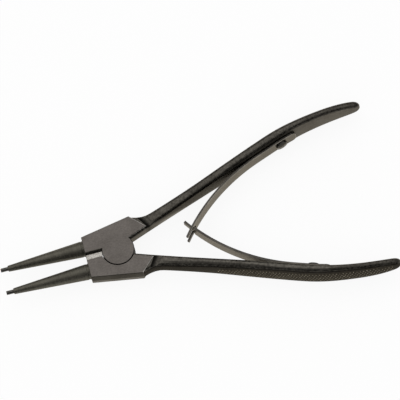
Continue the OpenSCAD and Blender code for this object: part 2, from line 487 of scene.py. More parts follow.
def feed(tree: Tree, node: Node, inputs: dict[str | int, object]) -> None:
    """Sets inputs of a shader node.

    Args:
        tree: the nodes that it belongs to.
        node: the node.
        inputs: a plain value, or an output to link, for each input's name or place.
    """
    for key, value in inputs.items():
        if isinstance(value, Socket):
            tree.links.new(value, node.inputs[key])
        else:
            node.inputs[key].default_value = value


def add_node(tree: Tree, kind: str, inputs: dict[str | int, object], **choices: object) -> Node:
    """Adds a shader node.

    Args:
        tree: the nodes of a material or of the world.
        kind: the node's type, without the start that all have.
        inputs: a plain value, or an output to link, for each input's name or place.
        choices: the node's own settings.

    Returns:
        The node.
    """
    node = tree.nodes.new(f"ShaderNode{kind}")
    for key, value in choices.items():
        setattr(node, key, value)
    feed(tree, node, inputs)
    return node


def mapped(tree: Tree, value: Socket, span: Span, onto: Span) -> Socket:
    """Maps a span of a value onto another span.

    Args:
        tree: the nodes.
        value: the output to map.
        span: its lowest and highest value that count.
        onto: what they become.

    Returns:
        The mapped output.
    """
    ends = {"From Min": span[0], "From Max": span[1], "To Min": onto[0], "To Max": onto[1]}
    return add_node(tree, "MapRange", {"Value": value, **ends}).outputs["Result"]


def mixed(tree: Tree, factor: Socket, first: object, second: object) -> Socket:
    """Output of a mix of two colours, each a plain one or an output."""
    inputs = {"Factor": factor, MIX_FIRST: first, MIX_SECOND: second}
    return add_node(tree, "Mix", inputs, data_type="RGBA").outputs[MIX_RESULT]


def scaled(tree: Tree, colour: Socket, amount: Socket) -> Socket:
    """Output of a colour times an amount."""
    return add_node(tree, "VectorMath", {0: colour, "Scale": amount}, operation="SCALE").outputs["Vector"]


def reckoned(tree: Tree, operation: str, *values: object) -> Socket:
    """Output of a sum, product or the like of plain values and outputs."""
    return add_node(tree, "Math", dict(enumerate(values)), operation=operation).outputs["Value"]


def any_ray(tree: Tree, *kinds: str) -> Socket:
    """Finds out whether a ray is of one of some kinds.

    Args:
        tree: the nodes.
        kinds: the kinds, as Light Path names them.

    Returns:
        An output that is 1 for such rays and 0 for others.
    """
    rays = add_node(tree, "LightPath", {})
    asked = [rays.outputs[f"Is {kind} Ray"] for kind in kinds]
    return reduce(lambda a, b: reckoned(tree, "MAXIMUM", a, b), asked)


@dataclass(frozen=True)
class Steel:
    """A steel finish: patches of two tones, a fine grain and its bump, worn edges, and painted shade and
    light from a point attribute.
    """

    name: str
    dark: Triple
    light: Triple
    rough_low: float
    rough_high: float
    metallic: float = 0.9
    patch_scale: float = 140.0
    grain_scale: float = 1400.0
    grain_stretch: Triple = (1.0, 1.0, 1.0)
    grain_depth: float = 0.35
    bump: float = 0.00003
    worn: Triple = (0.2, 0.19, 0.175)
    wear: float = 0.0
    soot: float = 0.0
    glance: Triple = (0.9, 0.84, 0.74)

    def material(self) -> bpy.types.Material:
        """Makes the finish's material, or finds the one that was made.

        Returns:
            The material.
        """
        known = bpy.data.materials.get(self.name)
        if known:
            return known
        material = bpy.data.materials.new(self.name)
        material.use_nodes = True
        tree = material.node_tree
        place = add_node(tree, "TexCoord", {}).outputs["Object"]
        stretched = add_node(tree, "Mapping", {"Vector": place, "Scale": self.grain_stretch})
        patches = self.noise(tree, place, self.patch_scale, PATCH_DETAIL)
        grain = self.noise(tree, stretched.outputs["Vector"], self.grain_scale, GRAIN_DETAIL)
        tone = mapped(tree, patches, PATCH_SPAN, (0.0, 1.0))
        two_tone = mixed(tree, tone, (*self.dark, 1), (*self.light, 1))
        shade = mapped(tree, grain, GRAIN_SPAN, (1 - self.grain_depth, 1 + self.grain_depth))
        colour = scaled(tree, two_tone, shade)
        if self.wear:
            colour = self.worn_edges(tree, colour, grain)
        # Painted shade and painted light: the forging's point attribute darkens or lightens the colour
        if self.soot:
            marks = add_node(tree, "Attribute", {}, attribute_name=PAINTED_SHADING).outputs["Fac"]
            kept = mapped(tree, marks, PAINTED_SHADING_SPAN, (1 + self.soot, 1 - self.soot))
            colour = scaled(tree, colour, kept)
        bump = {"Height": grain, "Strength": BUMP_STRENGTH, "Distance": self.bump}
        feed(tree, tree.nodes["Principled BSDF"], {
            "Base Color": colour,
            "Metallic": self.metallic,
            "Specular Tint": (*self.glance, 1),
            "Roughness": mapped(tree, grain, GRAIN_SPAN, (self.rough_low, self.rough_high)),
            "Normal": add_node(tree, "Bump", bump).outputs["Normal"],
        })
        return material

    def worn_edges(self, tree: Tree, colour: Socket, grain: Socket) -> Socket:
        """Lightens the edges, broken up by the grain.

        Args:
            tree: the material's nodes.
            colour: the colour's output so far.
            grain: the grain's output.

        Returns:
            The output with the worn edges.
        """
        pointed = add_node(tree, "NewGeometry", {}).outputs["Pointiness"]
        edge = mapped(tree, pointed, POINTED_SPAN, (0.0, self.wear))
        broken = mapped(tree, grain, BREAK_SPAN, BREAK_LEFT)
        return mixed(tree, reckoned(tree, "MULTIPLY", edge, broken), colour, (*self.worn, 1))

    @staticmethod
    def noise(tree: Tree, place: Socket, scale: float, detail: float) -> Socket:
        """Output of a noise of that scale, in features to the metre."""
        inputs = {"Vector": place, "Scale": scale, "Detail": detail}
        return add_node(tree, "TexNoise", inputs).outputs["Fac"]


# Black forged steel, darkened and lightened by painted shade and painted light from its point attribute
FORGED = Steel(
    "forged_black", (0.064, 0.059, 0.050), (0.092, 0.085, 0.073), 0.36, 0.52,
    grain_scale=1000.0, grain_depth=0.55, bump=0.00006, wear=0.5, soot=0.92,
)
SCALE = Steel("scale_black", (0.010, 0.009, 0.008), (0.018, 0.017, 0.015), 0.6, 0.8, metallic=0.4)
# The plate's flank as one finish in two copies: painted shade on one half, painted light on the other
FLANK_PAINTED_SHADE = Steel("forged_flank", (0.034, 0.031, 0.026), (0.050, 0.046, 0.039), 0.5, 0.65, bump=0.00006)
FLANK_PAINTED_LIGHT = Steel(
    "forged_flank_back", (0.118, 0.110, 0.097), (0.165, 0.153, 0.136), 0.5, 0.65, bump=0.00006,
)
# Rough outer side of the grip, near black so that it shows as painted shade in the grooves between the
# knurl's teeth
GRIP_SIDE_AND_GROOVE_SHADE = Steel("grip_side_rough", (0.016, 0.014, 0.011), (0.026, 0.023, 0.018), 0.6, 0.75, bump=0.00006)
GROUND = Steel(
    "ground_satin", (0.107, 0.096, 0.087), (0.129, 0.116, 0.106), 0.36, 0.46,
    grain_scale=1900.0, grain_stretch=(0.6, 1.0, 1.0), grain_depth=0.22, bump=0.00001,
)
BARE = Steel(
    "bare_steel", (0.42, 0.41, 0.395), (0.7, 0.69, 0.67), 0.25, 0.4, patch_scale=900.0, grain_depth=0.5,
)
# Plate edges that face the handle: worn bare steel with a painted highlight
WORN_EDGE_AND_HIGHLIGHT = Steel("rubbed_edge", (0.24, 0.23, 0.215), (0.42, 0.405, 0.385), 0.25, 0.4, patch_scale=500.0)
TURNED = Steel(
    "turned_black", (0.108, 0.101, 0.082), (0.140, 0.132, 0.108), 0.5, 0.62,
    grain_stretch=(2.0, 0.2, 0.2), grain_depth=0.25, bump=0.00002,
)
KNURLED = Steel("knurled_black", (0.019, 0.015, 0.009), (0.040, 0.033, 0.021), 0.36, 0.5, patch_scale=500.0)
KNURL_TOP = Steel("knurl_top_worn", (0.20, 0.178, 0.138), (0.62, 0.57, 0.47), 0.3, 0.45, patch_scale=500.0)
PIN = Steel("tip_pin_steel", (0.07, 0.067, 0.06), (0.10, 0.095, 0.088), 0.3, 0.4, grain_depth=0.2)
SPRING = Steel(
    "spring_strip", (0.081, 0.073, 0.059), (0.106, 0.096, 0.079), 0.3, 0.42,
    grain_depth=0.16, bump=0.00001,
)
SPRING_EDGE = Steel("spring_edge", (0.060, 0.055, 0.048), (0.09, 0.083, 0.073), 0.35, 0.5)
# Painted highlight on the spring's rounded edges away from the handle
SPRING_HIGHLIGHT = Steel("spring_worn_line", (0.20, 0.183, 0.155), (0.30, 0.275, 0.235), 0.35, 0.5, metallic=0.3)
SCREW = Steel("screw_black", (0.018, 0.017, 0.015), (0.032, 0.03, 0.027), 0.28, 0.42, wear=0.4)
# Painted highlight in the screw's slot
SLOT_HIGHLIGHT = Steel("screw_slot_worn", (0.40, 0.38, 0.34), (0.56, 0.53, 0.48), 0.35, 0.5, metallic=0.4)


def coat(obj: Object, *finishes: Steel, by: Callable[[Face], Steel] | None = None) -> None:
    """Gives an object its finishes.

    Args:
        obj: the object.
        finishes: all the finishes on it.
        by: says which of them a face has; without it every face has the first.
    """
    for finish in finishes:
        obj.data.materials.append(finish.material())
    if by:
        for face in obj.data.polygons:
            face.material_index = finishes.index(by(face))


@dataclass
class HandleLine:
    """Inner face of a handle, seen along the pivot: a straight run, then a bend back."""

    angle: float = math.radians(20.3)
    offset: float = 0.93
    bend_from: float = 85.7
    bend_r: float = 110.0
    length: float = 128.1
    run_out: float = 2.0

    @property
    def start(self) -> Vector:
        """Foot of the pivot on the face's line."""
        return self.offset * left(self.angle)

    def heading(self, s: float) -> float:
        """Heading of the face at a distance along it."""
        return self.angle - max(0.0, s - self.bend_from) / self.bend_r

    def point(self, s: float) -> Vector:
        """Finds a point of the face.

        Args:
            s: its distance along the face.

        Returns:
            The point, in the lever's space.
        """
        if s <= self.bend_from:
            return self.start + s * ahead(self.angle)
        bend = self.start + self.bend_from * ahead(self.angle)
        return bend + self.bend_r * (left(self.heading(s)) - left(self.angle))

    def locate(self, point: Vector) -> tuple[float, float]:
        """Finds a point of the lever on the handle.

        Args:
            point: the point, in the lever's space.

        Returns:
            Its distance along the inner face, and its distance from that face, outwards.
        """
        way = point - self.start
        along = way.dot(ahead(self.angle))
        if along <= self.bend_from:
            return along, way.dot(left(self.angle))
        centre = self.start + self.bend_from * ahead(self.angle) - self.bend_r * left(self.angle)
        arm = (point - centre).to_2d()
        turn = self.angle + math.pi / 2 - math.atan2(arm.y, arm.x)
        return self.bend_from + self.bend_r * turn, arm.length - self.bend_r

    def bend(self, obj: Object) -> None:
        """Bends a piece from straight space, X along the face and Y outwards, onto the handle."""
        bent = Run(self.length - self.bend_from + self.run_out, -1 / self.bend_r)
        bend_along(obj, self.start, self.angle, [Run(self.bend_from), bent])


@dataclass
class Lever:
    """One forging: jaw, joint plate, ear and handle."""

    line: HandleLine
    # Ear and rivet
    ear_r: float = 7.35
    ear_gap: float = 0.36
    ear_edge: float = 0.26
    lap_gap: float = 0.08
    rivet_r: float = 3.0
    rivet_head_r: float = 4.0
    rivet_head_h: float = 1.0
    rivet_gap: float = 0.015
    # Joint plate
    shoulder_x: float = 14.9
    shoulder_h: float = 8.6
    plate_gap: float = 2.8
    gap_trim: float = 0.15
    plate_len: float = 36.0
    plate_w: float = 20.0
    plate_flare: float = math.radians(10.1)
    plate_corner_x: float = 10.5
    plate_corner: float = 1.364
    corner_reach: float = 0.8
    plate_nose_x: float = 14.9
    plate_ledge: float = 0.9
    flank_draft: float = math.radians(6.5)
    plate_edge: float = 0.28
    sharp: float = 0.4
    front_edge: float = 1.0
    # Jaw, with the ring turned at its root
    jaw_y: float = 5.6
    jaw_root_r: float = 3.7
    jaw_end_r: float = 1.375
    jaw_len: float = 35.3
    jaw_sunk: float = 1.0
    jaw_edge: float = 0.22
    ring_gap: float = 0.25
    ring_slope: float = 0.2
    ring_w: float = 0.5
    ring_share: float = 0.955
    # Thickness and depth of the handle
    root_t: float = 5.6
    mid_t: float = 4.25
    grip_t: float = 3.2
    root_d: float = 6.9
    grip_d: float = 13.4
    grip_from: float = 80.0
    taper_from: float = 13.0
    taper_to: float = 48.0
    taper_power: float = 1.5
    thin_from: float = 82.0
    thin_to: float = 110.0
    hollow_to: float = 21.0
    hollow_r: float = 10.0
    end_from: float = 90.0
    end_power: float = 2.8
    nose_len: float = 3.0
    nose_power: float = 2.0
    # Edges, crown and hollow of the handle
    edge_r: float = 1.4
    edge_share: float = 0.45
    side_facing: float = 0.75
    crown_in: float = 0.012
    crown_out: float = 0.3
    cove_r: float = 3.6
    cove_dip: float = 0.42
    cove_len: float = 40.0
    # Sections of the handle
    sweep_from: float = 5.0
    sections: int = 56
    close_len: float = 8.0
    close_sections: int = 15
    end_gap: float = 0.05

    @property
    def shoulder(self) -> Vector:
        """Outer corner of the plate at the jaw, where its flank starts."""
        return Vector((-self.shoulder_x, self.plate_gap / 2 + self.shoulder_h, 0))

    @property
    def jaw_end(self) -> float:
        """Place of the jaw's end along the tool."""
        return -self.shoulder_x - self.jaw_len

    def thickness(self, s: float) -> float:
        """Works out how thick the handle is.

        Args:
            s: a distance along its inner face.

        Returns:
            The thickness there.
        """
        q = min(1.0, max(0.0, (self.taper_to - s) / (self.taper_to - self.taper_from)))
        hollow = max(0.0, self.hollow_to - max(s, self.taper_from))
        thin = fade(s, (self.thin_from, self.thin_to))
        flare = (self.root_t - self.mid_t) * q**self.taper_power + hollow**2 / (2 * self.hollow_r)
        return self.mid_t + flare - (self.mid_t - self.grip_t) * thin

    def round_off(self, s: float, start: float, power: float) -> float:
        """Share of a size that is left at s where it closes in a round end from start on."""
        q = max(0.0, (s - start) / (self.line.length - start))
        return max(0.0, 1 - q**power) ** (1 / power)

    def nose_share(self, s: float) -> float:
        """Share of the thickness that is left at s, where the handle's nose closes."""
        return self.round_off(s, self.line.length - self.nose_len, self.nose_power)

    def depth(self, s: float) -> float:
        """Works out how deep the handle is.

        Args:
            s: a distance along its inner face.

        Returns:
            The depth there.
        """
        spread = fade(s, (self.taper_from, self.grip_from))
        full = self.root_d + (self.grip_d - self.root_d) * spread
        return full * self.round_off(s, self.end_from, self.end_power)

    def stations(self) -> list[float]:
        """Places the handle's sections, close together at its end.

        Returns:
            Their distances along the inner face.
        """
        last = self.line.length - self.close_len
        run = last - self.sweep_from
        even = [self.sweep_from + run * i / self.sections for i in range(self.sections)]
        reach = self.close_len - self.end_gap
        angles = [math.radians(90 * i / self.close_sections) for i in range(self.close_sections + 1)]
        return even + [last + reach * math.sin(angle) for angle in angles]

    def section(self, s: float) -> None:
        """Adds the rounded outline of one section to the mesh in edit mode.

        Args:
            s: the section's distance along the inner face.
        """
        full = self.thickness(s)
        t = full * self.nose_share(s)
        d = self.depth(s)
        middle = (s, full / 2, 0)
        bpy.ops.mesh.primitive_plane_add(size=1, location=middle, rotation=(0, math.pi / 2, 0))
        stretch((1, t, d), middle)
        edge_r = min(self.edge_r, self.edge_share * t, self.edge_share * d)
        bpy.ops.mesh.bevel(offset=edge_r, segments=5, affect="VERTICES")
        bpy.ops.mesh.delete(type="ONLY_FACE")

    def handle(self) -> Object:
        """Bridges the handle's sections in straight space and bends it.

        Returns:
            The handle, in the lever's space.
        """
        bpy.ops.mesh.primitive_plane_add(size=1)
        bar = started("handle")
        stations = self.stations()
        with shaping(bar):
            bpy.ops.mesh.select_all(action="SELECT")
            bpy.ops.mesh.delete(type="VERT")
            self.section(stations[0])
            for pair in zip(stations, stations[1:]):
                self.section(pair[1])
                pick(bar, Pick.EDGE, lambda e: any(lies_at(e, s) for s in pair))
                bpy.ops.mesh.bridge_edge_loops()
            bpy.ops.mesh.select_all(action="SELECT")
            bpy.ops.mesh.fill_holes(sides=0)
            bpy.ops.mesh.select_all(action="SELECT")
            bpy.ops.mesh.normals_make_consistent(inside=False)
            pick(bar, Pick.EDGE, lambda e: is_along(e, Way.DEPTH))
            bpy.ops.mesh.subdivide(number_cuts=5)
            pick(bar, Pick.EDGE, lambda e: is_along(e, Way.THICKNESS))
            bpy.ops.mesh.subdivide(number_cuts=3)
        self.crown_faces(bar)
        # The outer side is rough, and near black as painted shade between the knurl's teeth
        coat(bar, FORGED, GRIP_SIDE_AND_GROOVE_SHADE, by=lambda f: GRIP_SIDE_AND_GROOVE_SHADE if f.normal.y > self.side_facing else FORGED)
        self.line.bend(bar)
        return bar

    def crown_faces(self, bar: Object) -> None:
        """Crowns the inner and the outer flat of the straight handle.

        Args:
            bar: the straight handle.
        """
        for vertex in bar.data.vertices:
            s, y, z = vertex.co
            if y < self.thickness(s) / 2:
                vertex.co.y += self.crown_in * self.depth(s) * (2 * z / self.depth(s)) ** 2
            else:
                vertex.co.y += self.crown_rise(s, z)

    def crown_rise(self, s: float, z: float) -> float:
        """Height of the outer side's crown at a height z, s along the handle."""
        return self.crown_out * self.nose_share(s) * max(0.0, 1 - (2 * z / self.depth(s)) ** 2)

    def outer_side(self, s: float, z: float) -> float:
        """Finds the outer side, round its edges as well.

        Args:
            s: a distance along the inner face.
            z: a height above the middle of the handle.

        Returns:
            Its distance from the inner line there.
        """
        past = max(0.0, abs(z) - (self.depth(s) / 2 - self.edge_r))
        over = self.edge_r - math.sqrt(max(0.0, self.edge_r**2 - past**2))
        return self.thickness(s) + self.crown_rise(s, z) - over

    def border(self) -> tuple[Vector, Vector]:
        """Finds the plate's border, where it faces the handle.

        Returns:
            The plate's nose and its corner, where the border starts and ends.
        """
        run = self.plate_corner_x + self.shoulder_x
        corner = self.shoulder + run * Vector((1, math.tan(self.plate_flare), 0))
        ledge = self.line.start + self.plate_ledge * left(self.line.angle)
        nose = ledge + (self.plate_nose_x - ledge.x) / math.cos(self.line.angle) * ahead(self.line.angle)
        return nose, corner

    def cove(self, side: Side) -> Object:
        """Makes the cutter for the hollow that runs along the plate's border.

        Args:
            side: the side of the handle that it hollows.

        Returns:
            The cutter.
        """
        nose, corner = self.border()
        edge = (corner - nose).normalized()
        lift = self.root_d / 2 + self.cove_r - self.cove_dip
        half_w = math.sqrt(self.cove_r**2 - (self.cove_r - self.cove_dip) ** 2)
        middle = (nose + corner) / 2 + half_w * right_of(edge) + Vector((0, 0, side.value * lift))
        turn = edge.to_track_quat("Z", "Y").to_euler()
        cove = rod("cove", BORE_SIDES, self.cove_r, self.cove_len, middle, turn)
        coat(cove, FORGED)
        return cove

    def plate(self) -> Object:
        """Cuts the joint plate out of a block, with forging draft on its outer flank.

        Returns:
            The plate, with its finishes.
        """
        low = self.plate_gap / 2 - self.gap_trim
        nose, corner = self.border()
        out = left(self.plate_flare)
        lean = math.tan(self.flank_draft)
        ridge = self.shoulder + HALF_T * lean * out
        middle = Vector((self.plate_len / 2 - self.shoulder_x, low + self.plate_w / 2, 0))
        plate = block("plate", (self.plate_len, self.plate_w, JOINT_T), middle)
        with shaping(plate):
            slice_off(ridge, out + Vector((0, 0, lean)))
            slice_off(ridge, out - Vector((0, 0, lean)))
            slice_off(nose, right_of(corner - nose))
            slice_off(nose, -left(self.line.angle))
            reach = self.corner_reach
            pick(plate, Pick.EDGE, lambda e: all((v.co.xy - corner.xy).length < reach for v in e.verts))
            bevel(self.plate_corner, steps=6)
            slice_off(Vector((0, low, HALF_T - self.front_edge)), Vector((0, -1, 1)))
            pick(plate, Pick.EDGE, lambda e: e.calc_face_angle(0) > self.sharp)
            bevel(self.plate_edge)
        coat(plate, FORGED, GROUND, BARE, WORN_EDGE_AND_HIGHLIGHT, FLANK_PAINTED_SHADE, FLANK_PAINTED_LIGHT, by=self.plate_finish)
        return plate

    @staticmethod
    def plate_finish(face: Face) -> Steel:
        """Chooses the finish of one face of the plate.

        Args:
            face: the face.

        Returns:
            Its finish, by the way that it points.
        """
        x, y, z = face.normal
        if abs(z) > SQUARE:
            return GROUND
        if y < -SQUARE:
            return BARE
        # Edges facing the handle: worn bare steel with a painted highlight
        if abs(z) > LEANING and x > SLIGHT:
            return WORN_EDGE_AND_HIGHLIGHT
        # Flank halves: painted shade where z is below 0, painted light on the other half
        if y > LEANING:
            return FLANK_PAINTED_SHADE if z < 0 else FLANK_PAINTED_LIGHT
        return FORGED

    def ear(self) -> Object:
        """Makes the round ear in front of the lap, with its rim broken.

        Returns:
            The ear.
        """
        bottom = self.lap_gap / 2
        height = HALF_T - bottom
        ear = rod("ear", EAR_SIDES, self.ear_r, height, (0, 0, bottom + height / 2))
        with shaping(ear):
            pick(ear, Pick.EDGE, lambda e: all(v.co.z > HALF_T - TOUCH for v in e.verts))
            bevel(self.ear_edge)
        coat(ear, SCALE, GROUND, by=lambda f: GROUND if abs(f.normal.z) > SQUARE else SCALE)
        return ear

    def jaw(self) -> Object:
        """Makes the tapered jaw, with a shallow ring turned next to the shoulder.

        Returns:
            The jaw, dressed as turned steel.
        """
        taper = (self.jaw_root_r - self.jaw_end_r) / self.jaw_len
        depth = self.jaw_len + self.jaw_sunk
        bpy.ops.mesh.primitive_cone_add(
            vertices=JAW_SIDES, radius1=self.jaw_root_r + taper * self.jaw_sunk, radius2=self.jaw_end_r,
            depth=depth, location=(self.jaw_end + depth / 2, self.jaw_y, 0), rotation=ALONG_TOOL,
        )
        jaw = started("jaw")
        rim = -self.shoulder_x - self.ring_gap
        near = rim - self.ring_slope
        far = near - self.ring_w
        with shaping(jaw):
            for x in (rim, near, far, far - self.ring_slope):
                cut_across(x)
            pick(jaw, Pick.VERT, lambda v: far - TOUCH < v.co.x < near + TOUCH)
            stretch((1, self.ring_share, self.ring_share), (0, self.jaw_y, 0))
            pick(jaw, Pick.EDGE, lambda e: lies_at(e, self.jaw_end))
            bevel(self.jaw_edge)
        coat(jaw, TURNED)
        return jaw

    def rivet_space(self) -> Object:
        """Makes the cutter for the rivet's hole, with its countersink in the front of the ear.

        Returns:
            The cutter.
        """
        shank = self.rivet_r + self.rivet_gap
        share = (self.rivet_head_r + self.rivet_gap) / shank
        depth = JOINT_T + REACH
        middle = (0, 0, HALF_T - self.rivet_head_h - depth / 2)
        space = rod("rivet_space", BORE_SIDES, shank, depth, middle)
        with shaping(space):
            pick(space, Pick.FACE, lambda f: f.normal.z > SQUARE)
            extrude((0, 0, self.rivet_head_h))
            stretch((share, share, 1), (0, 0, HALF_T))
            extrude((0, 0, REACH))
        coat(space, FORGED)
        return space

    def build(self) -> Object:
        """Works plate, handle, ear and jaw into one forging.

        Returns:
            The forging, in the lever's space.
        """
        forging = self.plate()
        handle = self.handle()
        for side in Side:
            combine(handle, self.cove(side), Cut.REMOVE)
        combine(forging, handle, Cut.JOIN)
        middle = (0, 0, self.lap_gap / 2 - REACH / 2)
        recess = rod("recess", EAR_SIDES, self.ear_r + self.ear_gap, REACH, middle)
        coat(recess, SCALE)
        combine(forging, recess, Cut.REMOVE)
        combine(forging, self.ear(), Cut.JOIN)
        combine(forging, self.jaw(), Cut.JOIN)
        combine(forging, self.rivet_space(), Cut.REMOVE)
        soften(forging)
        return forging


@dataclass
class PaintedShading:
    """Painted shade and painted light on a forging, as marks from -1, painted light, to 1, painted shade.

    A span says where a change starts and ends: along the handle, across its thickness, or away from
    the plate's border for the cove. The turn to the side and the band's edge are shares of the depth.
    """

    lever: Lever
    border_slack: float = 0.01
    cove: Span = (0.6, 3.0)
    root: Span = (18.0, 26.0)
    end: Span = (105.0, 120.0)
    side_turn: Span = (0.3, 0.42)
    # Inner side: a black band of painted shade under the front edge, which grows towards the spring's seat,
    # with painted light below it
    band_low: float = 0.12
    band_growth: float = 0.95
    band_grows: Span = (22.0, 56.0)
    band_edge: Span = (-0.25, 0.2)
    seat: Span = (90.0, 98.0)
    seat_loss: float = 0.75
    inner_edge: Span = (0.0, 1.1)
    # Side at z below 0: a black stripe of painted shade next to its outer edge, with painted light across
    # the side
    stripe_w: float = 0.8
    stripe_narrows: Span = (57.0, 77.0)
    grip_stripe_w: float = 0.35
    grip: Span = (75.0, 85.0)
    stripe_starts: Span = (-0.25, 0.25)
    stripe_ends: Span = (0.25, 0.85)
    stripe_black: float = 0.9
    painted_light: float = 0.25
    side_end: Span = (100.0, 112.0)
    side_loss: float = 0.7

    def paint(self, forging: Object) -> None:
        """Writes the marks to a forging's points.

        Args:
            forging: the forging, in the lever's space.
        """
        marks = forging.data.attributes.new(PAINTED_SHADING, "FLOAT", "POINT")
        for vertex, mark in zip(forging.data.vertices, marks.data):
            in_cove = self.in_cove(vertex.co)
            mark.value = in_cove if in_cove > 0 else self.on_handle(vertex.co)

    def in_cove(self, point: Vector) -> float:
        """Finds the painted shade next to the plate's border, which fades along the handle.

        Args:
            point: a point of the forging.

        Returns:
            The mark, or 0 on the plate.
        """
        nose, corner = self.lever.border()
        off = (point - nose).dot(right_of((corner - nose).normalized()))
        return 1 - fade(off, self.cove) if off > -self.border_slack else 0.0

    def on_handle(self, point: Vector) -> float:
        """Finds the painted shade and light on the handle's inner side and on its side at z below 0.

        Args:
            point: a point of the forging.

        Returns:
            The mark, or 0 before the handle's root and past its end.
        """
        s, away = self.lever.line.locate(point)
        if not self.root[0] < s < self.end[1]:
            return 0.0
        share = point.z / self.lever.depth(s)
        inside = self.inside(s, away, share)
        return inside + (self.beside(s, away) - inside) * fade(-share, self.side_turn)

    def inside(self, s: float, away: float, share: float) -> float:
        """Finds the mark on the inner side: the band of painted shade, and painted light below it.

        Args:
            s: a distance along the inner face.
            away: a distance from that face, outwards.
            share: a height above the handle's middle, as a share of its depth.

        Returns:
            The mark.
        """
        low = self.band_low - self.band_growth * fade(s, self.band_grows)
        height = 2 * fade(share - low, self.band_edge) - 1
        ends = fade(s, self.root) * (1 - self.seat_loss * fade(s, self.seat)) * (1 - fade(s, self.end))
        return height * ends * (1 - fade(away, self.inner_edge))

    def beside(self, s: float, away: float) -> float:
        """Finds the mark on the side at z below 0: the stripe of painted shade, and painted light next to
        it.

        Args:
            s: a distance along the inner face.
            away: a distance from that face, outwards.

        Returns:
            The mark.
        """
        flat_end = self.lever.thickness(s) - self.lever.edge_r
        near_root = self.stripe_w * (1 - fade(s, self.stripe_narrows))
        start = flat_end - near_root - self.grip_stripe_w * fade(s, self.grip)
        stripe = fade(away - start, self.stripe_starts) * (1 - fade(away - flat_end, self.stripe_ends))
        ends = fade(s, self.root) * (1 - self.side_loss * fade(s, self.side_end))
        return (self.stripe_black * stripe - self.painted_light) * ends


@dataclass
class Knurl:
    """Diamond knurl on the outer face of a grip: one small pyramid, repeated and trimmed."""

    lever: Lever
    start: float = 46.0
    end: float = 124.0
    half_length: float = 0.74
    half_width: float = 1.7
    height: float = 0.34
    sink: float = 0.06
    fill: float = 0.82
    top_share: float = 0.24
    top_area: float = 0.2
    reach: float = 0.6
    margin: float = 1.2

    def build(self) -> Object:
        """Lays the pyramids in straight space, trims the field and bends it onto the handle.

        Returns:
            The knurl, in the lever's space.
        """
        a, b = self.half_length, self.half_width
        bpy.ops.mesh.primitive_cone_add(
            vertices=4, radius1=1, radius2=self.top_share, depth=self.height,
            location=(self.start, self.height / 2 - self.sink, 0), rotation=(-math.pi / 2, 0, 0),
        )
        teeth = started("knurl")
        rows = int(self.lever.grip_d / 2 / b) + 1
        with shaping(teeth):
            bpy.ops.mesh.select_all(action="SELECT")
            stretch((self.fill * a, 1, self.fill * b), (self.start, 0, 0))
            bpy.ops.transform.translate(value=(0, 0, -b * rows))
            bpy.ops.mesh.duplicate_move(TRANSFORM_OT_translate={"value": (a, 0, b)})
        plain = {"use_relative_offset": False, "use_constant_offset": True}
        count = int((self.end - self.start) / (2 * a)) + 1
        finish_with(teeth, "ARRAY", count=count, constant_offset_displace=(2 * a, 0, 0), **plain)
        finish_with(teeth, "ARRAY", count=rows + 1, constant_offset_displace=(0, 0, 2 * b), **plain)
        with shaping(teeth):
            pick(teeth, Pick.FACE, self.is_loose_top)
            bpy.ops.mesh.select_linked()
            bpy.ops.mesh.delete(type="VERT")
        for vertex in teeth.data.vertices:
            vertex.co.y += self.lever.outer_side(vertex.co.x, vertex.co.z)
        self.lever.line.bend(teeth)
        small = self.top_area * a * b
        coat(teeth, KNURLED, KNURL_TOP, by=lambda f: KNURL_TOP if f.area < small else KNURLED)
        return teeth

    def is_loose_top(self, face: bmesh.types.BMFace) -> bool:
        """Finds the pyramids that the grip has no room for.

        Args:
            face: a face of a pyramid.

        Returns:
            Whether it is the top of a pyramid that lies off the flat of the grip.
        """
        x, _, z = face.calc_center_median()
        edge = abs(z) + self.reach * self.half_width
        outside = x > self.end or edge > self.lever.depth(x) / 2 - self.margin
        return face.normal.y > SQUARE and outside


@dataclass
class TipPin:
    """Hardened pin that stands out of a jaw's end."""

    lever: Lever
    radius: float = 0.9
    length: float = 3.4
    sunk: float = 3.0
    chamfer: float = 0.2
    spigot_step: float = 0.2

    def build(self) -> Object:
        """Turns the pin: a chamfered end, and a narrower spigot in the jaw.

        Returns:
            The pin, in the lever's space.
        """
        root = self.lever.jaw_end
        middle = (root - self.length / 2, self.lever.jaw_y, 0)
        pin = rod("tip_pin", SMALL_SIDES, self.radius, self.length, middle, ALONG_TOOL)
        with shaping(pin):
            pick(pin, Pick.EDGE, lambda e: lies_at(e, root - self.length))
            bevel(self.chamfer, steps=3)
            pick(pin, Pick.FACE, lambda f: f.normal.x > SQUARE)
            bpy.ops.mesh.inset(thickness=self.spigot_step)
            extrude((self.sunk, 0, 0))
        coat(pin, PIN)
        soften(pin)
        return pin


